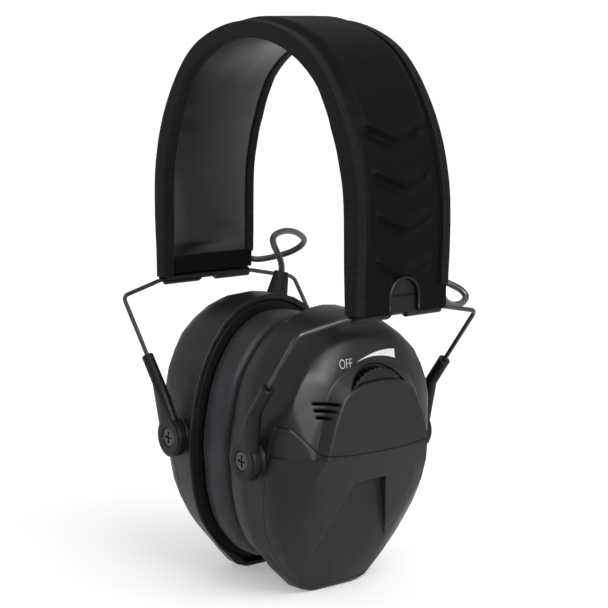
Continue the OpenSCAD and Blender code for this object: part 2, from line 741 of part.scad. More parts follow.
module battery_contacts() {
    color("silver") face_frame() for (s = [-1, 1]) {
        translate([cell_x - 4, s * (bay_half - 0.3) - 0.25, bay_z + 1])
            cube([8, 0.5, 2 * cell_d - 1.5]);
        translate([cell_x, s * (bay_half - 0.5), bay_z + cell_gap + cell_d / 2
            + (s > 0 ? 0 : cell_d + cell_gap)]) rotate([s > 0 ? 90 : -90, 0, 0])
            cylinder(d1 = 7, d2 = 4, h = 1.9, $fn = 24);
    }
}

module audio_jack() {
    color(black) on_side(-1) translate([jack_x, jack_y, jack_z]) rotate([90, 0, 0]) difference() {
        union() {
            cylinder(d = jack_out, h = jack_len + 2, $fn = 48);
            translate([0, 0, 6]) cylinder(d = jack_out + 0.4, h = jack_len - 4, $fn = 48);
        }
        translate([0, 0, -1]) cylinder(d = jack_d, h = jack_len + 1, $fn = 48);
    }
}

module strain_relief(side) {
    color(black) on_side(side) relief_frame() difference() {
        union() {
            translate([0, 0, -0.5]) cylinder(d = cable_d + 1.2, h = 2, $fn = 24);
            intersection() {
                cylinder(d1 = relief_d, d2 = relief_d - 3, h = relief_h, $fn = 32);
                translate([-relief_w / 2, -relief_d, 0]) cube([relief_w, 2 * relief_d, relief_h]);
            }
        }
        translate([0, 0, -1]) cylinder(d = cable_d + 2 * seat, h = relief_h + 3, $fn = 24);
        for (s = [-1, 1]) translate([s * (relief_w / 2 + 0.2), 0, 2.5])
            cylinder(d = 1.6, h = relief_h, $fn = 16);
    }
}

// ---- Cable: a tube swept along hand-chosen points, its rings kept upright by a fixed side vector

function unit(v) = v / norm(v);
function lerp3(p, i, t) = let (n = len(p) - 1, a = p[max(i - 1, 0)], b = p[i], c = p[min(i + 1, n)],
    d = p[min(i + 2, n)]) 0.5 * (2 * b + (c - a) * t + (2 * a - 5 * b + 4 * c - d) * t * t
    + (3 * b - a - 3 * c + d) * t * t * t);
function smooth_route(p, k) = concat([for (i = [0:len(p) - 2]) for (j = [0:k - 1]) lerp3(p, i, j / k)],
    [p[len(p) - 1]]);

// Carries the first side vector along the route, so that the rings never twist
function carried(q, i, u) = i >= len(q) ? [] : let (t = unit(q[min(i + 1, len(q) - 1)] - q[max(i - 1, 0)]),
    v = unit(u - (u * t) * t)) concat([[v, cross(t, v)]], carried(q, i + 1, v));

module tube(route, d, side_vector) {
    sides = 8;
    frames = carried(route, 0, side_vector);
    pts = [for (i = [0:len(route) - 1]) for (j = [0:sides - 1])
        route[i] + d / 2 * (cos(45 * j) * frames[i][0] + sin(45 * j) * frames[i][1])];
    last = (len(route) - 1) * sides;
    faces = concat([[for (j = [0:sides - 1]) j]], [[for (j = [sides - 1:-1:0]) last + j]],
        [for (i = [0:len(route) - 2]) for (j = [0:sides - 1]) let (k = (j + 1) % sides, n = i * sides)
            [n + j, n + sides + j, n + sides + k, n + k]]);
    polyhedron(points = pts, faces = faces);
}

// From the strain relief over the cup into the rear edge of the band; each side lies its own way
relief_end = [[26, 10.9, 97.4], [26, 12.5, 103.4], [26, 13.9, 108.6]];
band_end = [[56.3, 20.5, 110.4], [56.45, 18.2, 113], [56.45, 16.5, 117]];
loop_right = concat(relief_end, [[26.3, 14.9, 112.2], [28.5, 16.8, 115], [32, 20.8, 116.2], [36, 26.3, 115],
    [39.6, 32.5, 112.3], [42, 38.2, 109.6], [43.4, 42, 107.3], [44.8, 42.9, 105], [46.5, 39.5, 103.4],
    [48.3, 34.5, 103.4], [50.2, 30, 104.4], [52.2, 26, 106.1], [54.2, 22.8, 108.2]], band_end);
loop_left = concat(relief_end, [[26, 13.6, 112.4], [26.3, 12.2, 115.9], [27.2, 11.2, 119], [28.6, 11.9, 121.2],
    [30.6, 15.2, 122.6], [32.8, 21.3, 123], [35.2, 28, 121.7], [37.6, 33.5, 119.1], [40.2, 36, 116.8],
    [43, 35.8, 114.4], [46, 33.4, 112.3], [48.8, 30.4, 111], [51.8, 26.8, 109.9], [54.2, 23.2, 109.5]], band_end);
band_cable_from = leg_sweep * (arch_z - band_end[2][2] - 0.8) / leg_len;

module loop_cable(side) {
    color(black) on_side(side) tube(smooth_route(side > 0 ? loop_right : loop_left, 2), cable_d, [1, 0, 0]);
}

// The same cable inside the sleeve, beside the spring strip
module band_cable() {
    color(black) {
        arch() cable_section();
        for (side = [-1, 1]) leg(side, 0, band_cable_from) cable_section();
    }
}

module cable_section() {
    translate([cover_t + core_t / 2, -16.5]) circle(d = cable_d, $fn = 24);
}

headband_cover();
headband_pad();
spring_strip();
binding(wire_d / 2);  // binding_front
mirror([0, 1, 0]) binding(8);  // binding_rear
end_cap(1);  // end_cap_right
end_cap(-1);  // end_cap_left
yoke_wire(1);  // yoke_wire_right
yoke_wire(-1);  // yoke_wire_left
stem(1, true);  // stem_right_front
stem(1, false);  // stem_right_rear
stem(-1, true);  // stem_left_front
stem(-1, false);  // stem_left_rear
pivot_screws(1);  // pivot_screws_right
pivot_screws(-1);  // pivot_screws_left
cup_shell(1);  // cup_shell_right
cup_shell(-1);  // cup_shell_left
lower_cover(1);  // battery_door_right
lower_cover(-1);  // lower_cover_left
cushion(1);  // cushion_right
cushion(-1);  // cushion_left
cushion_ring(1);  // cushion_ring_right
cushion_ring(-1);  // cushion_ring_left
baffle(1);  // baffle_right
baffle(-1);  // baffle_left
ear_foam(1);  // ear_foam_right
ear_foam(-1);  // ear_foam_left
speaker(1);  // speaker_right
speaker(-1);  // speaker_left
volume_wheel();
volume_pot();
circuit_board(1);  // circuit_board_right
circuit_board(-1);  // circuit_board_left
microphone(1);  // microphone_right
microphone(-1);  // microphone_left
battery_cells();
battery_contacts();
audio_jack();
strain_relief(1);  // strain_relief_right
strain_relief(-1);  // strain_relief_left
loop_cable(1);  // loop_cable_right
loop_cable(-1);  // loop_cable_left
band_cable();
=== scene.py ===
import math
import bmesh
import bpy
from mathutils import Matrix, Vector, noise
from mathutils.bvhtree import BVHTree


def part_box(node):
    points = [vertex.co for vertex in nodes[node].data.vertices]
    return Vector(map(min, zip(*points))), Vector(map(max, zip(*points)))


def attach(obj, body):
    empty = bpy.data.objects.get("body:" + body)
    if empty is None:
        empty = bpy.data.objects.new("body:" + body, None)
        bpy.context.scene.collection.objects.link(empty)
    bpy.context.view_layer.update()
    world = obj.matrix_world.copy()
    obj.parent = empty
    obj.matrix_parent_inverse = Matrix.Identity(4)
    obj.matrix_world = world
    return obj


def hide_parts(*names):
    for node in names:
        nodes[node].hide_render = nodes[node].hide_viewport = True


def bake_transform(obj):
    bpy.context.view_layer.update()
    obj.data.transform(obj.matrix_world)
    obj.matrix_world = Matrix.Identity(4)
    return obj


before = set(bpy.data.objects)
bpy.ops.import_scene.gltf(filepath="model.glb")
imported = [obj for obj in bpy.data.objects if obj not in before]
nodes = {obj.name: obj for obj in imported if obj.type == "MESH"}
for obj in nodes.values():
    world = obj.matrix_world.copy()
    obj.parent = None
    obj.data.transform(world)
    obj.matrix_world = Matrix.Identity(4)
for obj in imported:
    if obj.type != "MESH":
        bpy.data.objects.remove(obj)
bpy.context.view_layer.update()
scene = bpy.context.scene
mm = 0.001
weldWithin = 0.000002  # metres: points closer than this become one
sideName = {1: "right", -1: "left"}
print("packed model loaded,", len(nodes), "nodes")


# The camera stands ahead of the right cup and a little above it, with a long lens.
view = {"lens": 106.7, "eye": (0.5095, -0.4011, 0.2083), "aim": (0.0022, 0.0024, 0.1010)}
lamps = {
    "key": {"at": (0.9, 0.15, 1.15), "size": 1.1, "power": 9, "onPaper": True},
    "face": {"at": (1.4, -0.3, 0.62), "size": 0.8, "power": 48},
    "front": {"at": (0.45, -1.1, 1.3), "size": 0.5, "power": 2},
    "left": {"at": (-0.9, -0.3, 1.2), "size": 0.5, "power": 0.6},
    "top": {"at": (-0.1, 0.2, 1.5), "size": 0.9, "power": 7},
}
studio = {
    "floor": [(0, 0), (5, 0), (5.6, 0.08), (6.1, 0.3), (6.4, 0.7), (6.5, 1.3)], "floorSteps": 96,
    "sky": 0.68, "glowReach": (0.25, 1.9), "glow": (0.3, 0.38),
}


def aimAt(thing, target):
    direction = Vector(target) - thing.location
    thing.rotation_euler = direction.to_track_quat("-Z", "Y").to_euler()


def setUpStudio():
    camera = bpy.data.objects.new("camera", bpy.data.cameras.new("camera"))
    camera.data.lens = view["lens"]
    camera.data.sensor_width = 36
    camera.data.clip_end = 60
    camera.location = view["eye"]
    aimAt(camera, view["aim"])
    scene.collection.objects.link(camera)
    scene.camera = camera

    for name, lamp in lamps.items():
        light = bpy.data.lights.new(name, "AREA")
        light.size = lamp["size"]
        light.energy = lamp["power"]
        holder = bpy.data.objects.new(name, light)
        holder.location = lamp["at"]
        aimAt(holder, (0, 0, 0.1))
        holder.visible_diffuse = lamp.get("onPaper", False)  # the others only draw highlights
        scene.collection.objects.link(holder)

    world = bpy.data.worlds.new("studio")
    world.use_nodes = True
    world.node_tree.nodes["Background"].inputs["Color"].default_value = (1, 1, 1, 1)
    world.node_tree.nodes["Background"].inputs["Strength"].default_value = studio["sky"]
    scene.world = world
    scene.view_settings.view_transform = "Standard"

    # a wide white floor that curves up all round
    shape = bmesh.new()
    line = [shape.verts.new((reach, 0, height)) for reach, height in studio["floor"]]
    edges = [shape.edges.new(pair) for pair in zip(line, line[1:])]
    bmesh.ops.spin(shape, geom=line + edges, cent=(0, 0, 0), axis=(0, 0, 1), angle=2 * math.pi,
                   steps=studio["floorSteps"], use_merge=True)
    bmesh.ops.remove_doubles(shape, verts=shape.verts, dist=0.0001)
    bmesh.ops.recalc_face_normals(shape, faces=shape.faces)
    floor = asObject("studio_floor", shape)
    material, shader, tree = newMaterial("studioPaper", (0.9, 0.9, 0.9), 0.9, specular=0.1)
    shader.inputs["Emission Color"].default_value = (1, 1, 1, 1)
    # the paper is lit evenly: a little glow makes up for the lamps' fall-off further out
    reach = put(tree, "VectorMath", {"operation": "LENGTH"})
    tree.links.new(put(tree, "TexCoord").outputs["Object"], reach.inputs[0])
    near, far = studio["glowReach"]
    low, high = studio["glow"]
    glow = put(tree, "MapRange", {"From Min": near, "From Max": far, "To Min": low, "To Max": high},
               Value=reach.outputs["Value"])
    tree.links.new(glow.outputs[0], shader.inputs["Emission Strength"])
    floor.data.materials.append(material)


def asObject(name, shape, smooth=True, merge=0.0):
    if merge:
        bmesh.ops.remove_doubles(shape, verts=shape.verts, dist=merge)
    mesh = bpy.data.meshes.new(name)
    for face in shape.faces:
        face.smooth = smooth
    shape.to_mesh(mesh)
    shape.free()
    thing = bpy.data.objects.new(name, mesh)
    scene.collection.objects.link(thing)
    return thing


def bake(thing):
    graph = bpy.context.evaluated_depsgraph_get()
    graph.update()
    finished = bpy.data.meshes.new_from_object(thing.evaluated_get(graph))
    thing.modifiers.clear()
    old = thing.data
    thing.data = finished
    bpy.data.meshes.remove(old)


def subdivide(thing, levels):
    extra = thing.modifiers.new("smooth", "SUBSURF")
    extra.levels = levels
    extra.render_levels = levels


def cutAway(thing, cutter):
    cut = thing.modifiers.new("cut", "BOOLEAN")
    cut.operation = "DIFFERENCE"
    cut.solver = "EXACT"
    cut.object = cutter
    bake(thing)
    bpy.data.objects.remove(cutter)


def smoothStep(low, high, value):
    t = max(0.0, min(1.0, (value - low) / (high - low)))
    return t * t * (3 - 2 * t)


def softShading(degrees):
    group = bpy.data.node_groups.new("softShading", "GeometryNodeTree")
    group.interface.new_socket("Geometry", in_out="INPUT", socket_type="NodeSocketGeometry")
    group.interface.new_socket("Geometry", in_out="OUTPUT", socket_type="NodeSocketGeometry")
    start = group.nodes.new("NodeGroupInput")
    end = group.nodes.new("NodeGroupOutput")
    weld = group.nodes.new("GeometryNodeMergeByDistance")
    weld.inputs["Distance"].default_value = weldWithin
    forget = group.nodes.new("GeometryNodeRemoveAttribute")
    forget.inputs["Name"].default_value = "custom_normal"
    smooth = group.nodes.new("GeometryNodeSetShadeSmooth")
    angle = group.nodes.new("GeometryNodeInputMeshEdgeAngle")
    steep = group.nodes.new("FunctionNodeCompare")
    steep.operation = "GREATER_THAN"
    steep.inputs[1].default_value = math.radians(degrees)
    sharp = group.nodes.new("GeometryNodeSetShadeSmooth")
    sharp.domain = "EDGE"
    sharp.inputs["Shade Smooth"].default_value = False
    group.links.new(start.outputs[0], forget.inputs["Geometry"])
    group.links.new(forget.outputs["Geometry"], weld.inputs["Geometry"])
    group.links.new(weld.outputs["Geometry"], smooth.inputs["Geometry"])
    group.links.new(smooth.outputs["Geometry"], sharp.inputs["Geometry"])
    group.links.new(angle.outputs["Unsigned Angle"], steep.inputs[0])
    group.links.new(steep.outputs["Result"], sharp.inputs["Selection"])
    group.links.new(sharp.outputs["Geometry"], end.inputs[0])
    return group


def dress(material, names):
    for name in names:
        node = nodes[name]
        if not node.material_slots:
            node.data.materials.append(material)
        for holder in node.material_slots:
            holder.material = material
        shade = node.modifiers.new("soft shading", "NODES")
        shade.node_group = plasticShading


def newMaterial(name, colour, roughness, metallic=0.0, specular=0.5):
    material = bpy.data.materials.new(name)
    material.use_nodes = True
    tree = material.node_tree
    shader = tree.nodes["Principled BSDF"]
    shader.inputs["Base Color"].default_value = (*colour, 1)
    shader.inputs["Roughness"].default_value = roughness
    shader.inputs["Metallic"].default_value = metallic
    shader.inputs["Specular IOR Level"].default_value = specular
    return material, shader, tree


def put(tree, kind, settings=None, **sources):
    node = tree.nodes.new("ShaderNode" + kind)
    for key, value in (settings or {}).items():
        if key in node.inputs:
            node.inputs[key].default_value = value
        else:
            setattr(node, key, value)
    for key, source in sources.items():
        tree.links.new(source, node.inputs[key])
    return node


def place(tree, source="Object", turn=(0, 0, 0)):
    coords = put(tree, "TexCoord")
    return put(tree, "Mapping", {"Rotation": turn}, Vector=coords.outputs[source]).outputs[0]


def speckle(tree, where, scale, detail=3.0, rough=0.55):
    cloud = put(tree, "TexNoise", {"Scale": scale, "Detail": detail, "Roughness": rough}, Vector=where)
    return cloud.outputs[0]


def tint(tree, shader, factor, dark, light, low=0.3, high=0.7):
    ramp = put(tree, "ValToRGB", Fac=factor)
    ramp.color_ramp.elements[0].position = low
    ramp.color_ramp.elements[0].color = (*dark, 1)
    ramp.color_ramp.elements[1].position = high
    ramp.color_ramp.elements[1].color = (*light, 1)
    tree.links.new(ramp.outputs[0], shader.inputs["Base Color"])
    return ramp


def glossRange(tree, shader, factor, low, high):
    spread = put(tree, "MapRange", {"To Min": low, "To Max": high}, Value=factor)
    tree.links.new(spread.outputs[0], shader.inputs["Roughness"])


def bump(tree, shader, height, depth, strength):
    dent = put(tree, "Bump", {"Strength": strength, "Distance": depth}, Height=height)
    earlier = shader.inputs["Normal"].links
    if earlier:
        tree.links.new(earlier[0].from_socket, dent.inputs["Normal"])
    tree.links.new(dent.outputs[0], shader.inputs["Normal"])


def shades(colour, amount):
    return [c * (1 - amount) for c in colour], [c * (1 + amount) for c in colour]


def mouldedPlastic(name, colour, roughness, grain=1.0, specular=0.35):
    material, shader, tree = newMaterial(name, colour, roughness, specular=specular)
    soft = put(tree, "Bevel", {"samples": 6, "Radius": 0.0011})  # no moulded edge is quite sharp
    tree.links.new(soft.outputs[0], shader.inputs["Normal"])
    where = place(tree)
    cloud = speckle(tree, where, 60, 4)
    tint(tree, shader, cloud, *shades(colour, 0.12))
    glossRange(tree, shader, speckle(tree, where, 220, 5), roughness - 0.06, roughness + 0.08)
    bump(tree, shader, speckle(tree, where, 2600, 2, 0.6), 0.00005 * grain, 0.5)
    return material


def brushedMetal(name, colour, roughness):
    material, shader, tree = newMaterial(name, colour, roughness, metallic=1.0)
    where = place(tree)
    tint(tree, shader, speckle(tree, where, 300, 4), *shades(colour, 0.2))
    glossRange(tree, shader, speckle(tree, where, 900, 4), roughness - 0.07, roughness + 0.1)
    bump(tree, shader, speckle(tree, where, 3000, 2), 0.00001, 0.4)
    return material


def neopreneCloth(name, colour):
    material, shader, tree = newMaterial(name, colour, 0.6, specular=0.045)
    shader.inputs["Sheen Weight"].default_value = 0.01
    shader.inputs["Sheen Roughness"].default_value = 0.45
    where = place(tree, "UV")
    loose = {"Distortion": 1.5, "Detail": 1.0}
    across = put(tree, "TexWave", {"Scale": 700, "bands_direction": "X", **loose}, Vector=where)
    along = put(tree, "TexWave", {"Scale": 500, "bands_direction": "Y", **loose}, Vector=where)
    knit = put(tree, "Math", {"operation": "MULTIPLY"})
    tree.links.new(across.outputs["Fac"], knit.inputs[0])
    tree.links.new(along.outputs["Fac"], knit.inputs[1])
    tint(tree, shader, speckle(tree, where, 90, 5), *shades(colour, 0.25))
    glossRange(tree, shader, speckle(tree, where, 40, 3), 0.5, 0.66)
    bump(tree, shader, knit.outputs[0], 0.00008, 0.5)
    bump(tree, shader, speckle(tree, where, 160, 4), 0.0003, 0.25)
    return material


def grosgrainTape(name, dark, light):
    material, shader, tree = newMaterial(name, light, 0.6, specular=0.06)
    shader.inputs["Sheen Weight"].default_value = 0.01
    shader.inputs["Sheen Roughness"].default_value = 0.4
    where = place(tree, "UV")
    ribs = put(tree, "TexWave", {"Scale": 460, "Distortion": 0.35, "Detail": 2.0, "Detail Scale": 3.0},
               Vector=where)
    # the rib crests are painted light and the grooves between them dark: painted highlight and painted shade
    # across the ribs
    tint(tree, shader, ribs.outputs["Fac"], dark, light, 0.15, 0.85)
    threads = put(tree, "TexWave", {"Scale": 900, "Distortion": 1.0, "bands_direction": "Y"}, Vector=where)
    bump(tree, shader, ribs.outputs["Fac"], 0.00022, 0.9)
    bump(tree, shader, threads.outputs["Fac"], 0.00005, 0.5)
    bump(tree, shader, speckle(tree, where, 300, 3), 0.0001, 0.3)
    return material


def satinLining(name, colour):
    material, shader, tree = newMaterial(name, colour, 0.32, specular=0.26)
    shader.inputs["Sheen Weight"].default_value = 0.02
    where = place(tree, "UV")
    fine = put(tree, "TexWave", {"Scale": 900, "Distortion": 0.8, "Detail": 1.0, "bands_direction": "Y"},
               Vector=where)
    tint(tree, shader, speckle(tree, where, 70, 4), *shades(colour, 0.14))
    glossRange(tree, shader, speckle(tree, where, 120, 4), 0.27, 0.38)
    bump(tree, shader, fine.outputs["Fac"], 0.00003, 0.4)
    bump(tree, shader, speckle(tree, where, 110, 3), 0.0004, 0.25)
    return material


def leatherette(name, colour):
    material, shader, tree = newMaterial(name, colour, 0.46, specular=0.2)
    where = place(tree)
    cells = put(tree, "TexVoronoi", {"Scale": 1300, "feature": "DISTANCE_TO_EDGE"}, Vector=where)
    tint(tree, shader, speckle(tree, where, 80, 5), *shades(colour, 0.16))
    glossRange(tree, shader, speckle(tree, where, 400, 4), 0.4, 0.56)
    bump(tree, shader, cells.outputs["Distance"], 0.00012, 0.35)
    bump(tree, shader, speckle(tree, where, 90, 3), 0.0006, 0.25)
    return material


def openFoam(name, colour):
    material, shader, tree = newMaterial(name, colour, 0.95, specular=0.1)
    where = place(tree)
    pores = put(tree, "TexVoronoi", {"Scale": 1100, "Randomness": 1.0}, Vector=where)
    # the pits of the pores are painted darker than the foam round them: painted shade in the pores
    tint(tree, shader, pores.outputs["Distance"], *shades(colour, 0.55), low=0.1, high=0.8)
    bump(tree, shader, pores.outputs["Distance"], 0.0004, 0.9)
    return material


def rubberJacket(name, colour):
    material, shader, tree = newMaterial(name, colour, 0.34)
    where = place(tree)
    tint(tree, shader, speckle(tree, where, 150, 3), *shades(colour, 0.15))
    glossRange(tree, shader, speckle(tree, where, 300, 3), 0.28, 0.42)
    bump(tree, shader, speckle(tree, where, 700, 3), 0.00006, 0.4)
    return material


def boardLacquer(name):
    material, shader, tree = newMaterial(name, (0.01, 0.09, 0.03), 0.35)
    where = place(tree, turn=(0, 0.785, 0))
    tracks = put(tree, "TexBrick", {"Scale": 260, "Mortar Size": 0.035, "Color1": (0.012, 0.1, 0.035, 1),
                                    "Color2": (0.01, 0.08, 0.028, 1), "Mortar": (0.05, 0.2, 0.07, 1)},
                 Vector=where)
    tree.links.new(tracks.outputs["Color"], shader.inputs["Base Color"])
    bump(tree, shader, tracks.outputs["Fac"], 0.0001, 0.5)
    return material


def cellWrap(name):
    material, shader, tree = newMaterial(name, (0.3, 0.2, 0.06), 0.3, metallic=0.6)
    where = place(tree)
    parts = put(tree, "SeparateXYZ", Vector=where)
    shift = put(tree, "MapRange", {"From Min": -0.022, "From Max": 0.022}, Value=parts.outputs["Y"])
    ramp = tint(tree, shader, shift.outputs[0], (0.02, 0.02, 0.022), (0.45, 0.28, 0.09), 0.69, 0.7)
    ramp.color_ramp.interpolation = "CONSTANT"
    bump(tree, shader, speckle(tree, where, 500, 2), 0.00004, 0.3)
    return material


def painted(name, colour):
    material, shader, tree = newMaterial(name, colour, 0.5)
    where = place(tree)
    tint(tree, shader, speckle(tree, where, 900, 4), *shades(colour, 0.05))
    bump(tree, shader, speckle(tree, where, 2500, 2), 0.00002, 0.4)
    return material


plasticShading = softShading(33)
setUpStudio()
finishes = {
    "charcoal": mouldedPlastic("charcoalPlastic", (0.0098, 0.0096, 0.0118), 0.42, specular=0.2),
    "black": mouldedPlastic("blackPlastic", (0.0035, 0.0035, 0.0038), 0.4, specular=0.16),
    "inner": mouldedPlastic("innerPlastic", (0.005, 0.005, 0.0053), 0.5, specular=0.14),
    "wheel": mouldedPlastic("wheelPlastic", (0.003, 0.003, 0.0033), 0.36, 0.6, specular=0.2),
    "relief": mouldedPlastic("softPlastic", (0.014, 0.0145, 0.0145), 0.5, specular=0.2),
    "wire": brushedMetal("coatedWire", (0.05, 0.05, 0.049), 0.33),
    "spring": brushedMetal("springSteel", (0.32, 0.33, 0.34), 0.3),
    "bright": brushedMetal("brightMetal", (0.6, 0.6, 0.58), 0.25),
    "screw": brushedMetal("screwMetal", (0.06, 0.06, 0.063), 0.34),
    "cover": neopreneCloth("neopreneCover", (0.0012, 0.0012, 0.00125)),
    # the tape's dark colour is painted shade in the rib grooves, and its light colour is a painted highlight
    # on the rib crests
    "tape": grosgrainTape("bindingTape", (0.0008, 0.0008, 0.001), (0.016, 0.016, 0.0185)),
    "lining": satinLining("satinLining", (0.0075, 0.0072, 0.0065)),
    "cushion": leatherette("cushionSkin", (0.023, 0.0258, 0.0295)),
    "foam": openFoam("acousticFoam", (0.02, 0.02, 0.021)),
    "rim": mouldedPlastic("windowRim", (0.002, 0.002, 0.0022), 0.3, specular=0.2),
    "cable": rubberJacket("cableJacket", (0.022, 0.022, 0.0225)),
    "board": boardLacquer("boardLacquer"),
    "cells": cellWrap("cellWrap"),
    "white": painted("whitePrint", (0.8, 0.8, 0.78)),
}
print("studio and", len(finishes), "finishes ready")

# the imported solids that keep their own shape, by what they are made of
madeOf = {
    "charcoal": ["cup_shell_right", "cup_shell_left", "battery_door_right", "lower_cover_left"],
    "black": ["end_cap_right", "end_cap_left", "stem_right_front", "stem_right_rear", "stem_left_front",
              "stem_left_rear", "audio_jack"],
    "inner": ["cushion_ring_right", "cushion_ring_left", "baffle_right", "baffle_left"],
    "wheel": ["volume_wheel"],
    "relief": ["strain_relief_right", "strain_relief_left"],
    "wire": ["yoke_wire_right", "yoke_wire_left"],
    "spring": ["spring_strip"],
    "bright": ["speaker_right", "speaker_left", "volume_pot", "microphone_right", "microphone_left",
               "battery_contacts"],
    "screw": ["pivot_screws_right", "pivot_screws_left"],
    "board": ["circuit_board_right", "circuit_board_left"],
    "cells": ["battery_cells"],
    "cable": ["band_cable"],
}
for finish, names in madeOf.items():
    dress(finishes[finish], names)


# The band is a cross-section swept over a round arch and down two long, barely curved legs.
band = {
    "radius": 59.5, "centre": 143.5, "legLength": 38.0, "flare": 0.4, "archSteps": 160, "legSteps": 64,
    # how far the outside and the inner lip stand off the plain sweep, by millimetres up from the leg's end
    "outside": [(0, -1.0), (6.5, -0.9), (12.5, -0.6), (18.5, -0.15), (25, 0.1), (31.5, 0.15), (38, -0.05),
                (43.2, -0.4), (48.4, -0.7), (53.6, -0.85), (62.9, -0.9), (71.2, -0.75), (77.5, -0.4),
                (83, 0.05), (91, 0.65), (96.2, 0.85), (100.3, 0.8), (104.5, 0.6), (110.7, 0.3), (120, 0.05),
                (131.5, 0)],
    "inside": [(0, 0.3), (15, 0.6), (33, 0.7), (45.3, 1.3), (52.5, 1.7), (58.8, 1.6), (66, 1.5), (72.3, 0.7),
               (78.5, 0), (84.7, -0.9), (95, -1.1), (131.5, -0.9)],
    # the outside's shift fades out down to coverDown, and the inside's starts at padUp
    "coverDown": 2.0, "padUp": 4.6, "padFade": 1.5, "sameDepth": 0.01,
}
legRadius = (band["legLength"] ** 2 + band["flare"] ** 2) / (2 * band["flare"])
legSweep = math.asin(band["legLength"] / legRadius)
archMiddle = Vector((0, 0, band["centre"]))
legMiddle = Vector((band["radius"] + legRadius, 0, band["centre"]))


def nearFour(points, i):
    return [points[max(0, min(len(points) - 1, i + k))] for k in (-1, 0, 1, 2)]


def curveOn(before, a, b, after, t):
    # the smooth curve from a to b, with its ends in line with the points on either side
    return 0.5 * (2 * a + (b - before) * t + (2 * before - 5 * a + 4 * b - after) * t ** 2
                  + (3 * a - before - 3 * b + after) * t ** 3)


def between(table, where):
    # a smooth curve through the table's points
    i = max(0, min(len(table) - 2, sum(spot <= where for spot, _ in table) - 1))
    t = max(0.0, min(1.0, (where - table[i][0]) / (table[i + 1][0] - table[i][0])))
    heights = [height for _, height in nearFour(table, i)]
    return curveOn(*heights, t)


def onBand(point):
    # height up from the leg's end, depth below the outside, and the outward direction
    spot = Vector((abs(point.x), 0, point.z)) / mm
    if spot.z >= band["centre"]:
        out = (spot - archMiddle).normalized()
        along = band["legLength"] + band["radius"] * math.asin(min(1.0, out.z))
        depth = band["radius"] - (spot - archMiddle).length
    else:
        out = (legMiddle - spot).normalized()
        along = band["legLength"] - legRadius * math.asin(out.z)
        depth = (spot - legMiddle).length - legRadius
    out.x = math.copysign(out.x, point.x)
    return along, depth, out


def sweepBand(section, shortBy=0.0):
    shape = bmesh.new()
    lower = legSweep * (1 - shortBy / band["legLength"])
    turns = ((archMiddle, math.pi / 2, band["archSteps"]), (legMiddle, lower, band["legSteps"]))
    for centre, angle, steps in turns:
        ring = []
        for depth, y in section:
            ring.append(shape.verts.new(((band["radius"] - depth) * mm, y * mm, band["centre"] * mm)))
        rim = [shape.edges.new((ring[i - 1], ring[i])) for i in range(len(ring))]
        bmesh.ops.spin(shape, geom=ring + rim, cent=centre * mm, axis=(0, -1, 0), angle=angle, steps=steps)
    bmesh.ops.remove_doubles(shape, verts=shape.verts, dist=weldWithin)
    bmesh.ops.mirror(shape, geom=shape.verts[:] + shape.edges[:] + shape.faces[:], axis="X",
                     merge_dist=weldWithin)
    bmesh.ops.holes_fill(shape, edges=[edge for edge in shape.edges if edge.is_boundary], sides=0)
    bmesh.ops.recalc_face_normals(shape, faces=shape.faces)
    return shape


def finishBand(shape, name, raised, material):
    # lays the weave along the band, then moves the two faces to their real heights
    weave = shape.loops.layers.uv.new("UVMap")
    places = {}
    for vert in shape.verts:
        places[vert] = onBand(vert.co)
    for face in shape.faces:
        for loop in face.loops:
            loop[weave].uv = (places[loop.vert][0] * mm, loop.vert.co.y)
    for vert, (along, depth, out) in places.items():
        lift = raised(along, vert.co.y / mm, depth)
        if depth < band["coverDown"]:
            lift += between(band["outside"], along) * (1 - max(0.0, depth) / band["coverDown"])
        if depth > band["padUp"]:
            lift -= between(band["inside"], along) * min(1.0, (depth - band["padUp"]) / band["padFade"])
        vert.co += out * lift * mm
    piece = asObject(name, shape)
    piece.data.materials.append(material)
    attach(piece, "headband")
    return piece


cover = {
    "edge": 20.05, "thick": 2.0, "across": 70, "underAcross": 10,  # half width, and faces over and under
    # the pillow's foot curves up by pillowRise on its way out to pillowHalf
    "pillow": 1.8, "pillowFrom": 60.5, "pillowRise": 2.6, "pillowHalf": 14, "pillowEase": (-1, 5),
    "pillowEdge": (12.4, 16.2),
    # each chevron is a ridge with a groove below it, rising from its tip at the middle
    "chevrons": (13.8, 29.4, 43.8, 59.6), "armSlope": 0.42, "armLean": 0.87, "tipRound": 1.2,
    "armReach": 12.4, "armFade": (-1.6, 0.8), "ridge": 1.5, "ridgeWidth": 1.1, "ridgeTaper": (1.25, 0.035),
    "groove": 0.7, "grooveBelow": 2.4, "grooveWidth": 1.4,
    # a sewn channel runs along both edges, and slack is the cloth's slight unevenness
    "channelAt": 16.6, "channel": 0.5, "channelWidth": 0.4, "slack": 0.12, "slackScale": (0.11, 0.13),
}
window = {
    "width": 13.0, "shift": 1.0, "top": 12.2, "steps": 48, "legDown": 20, "cutFrom": 55, "cutThrough": 12,
    "rim": 0.55, "rimStart": 0.4, "rimSink": 0.25, "rimSteps": 24,
}


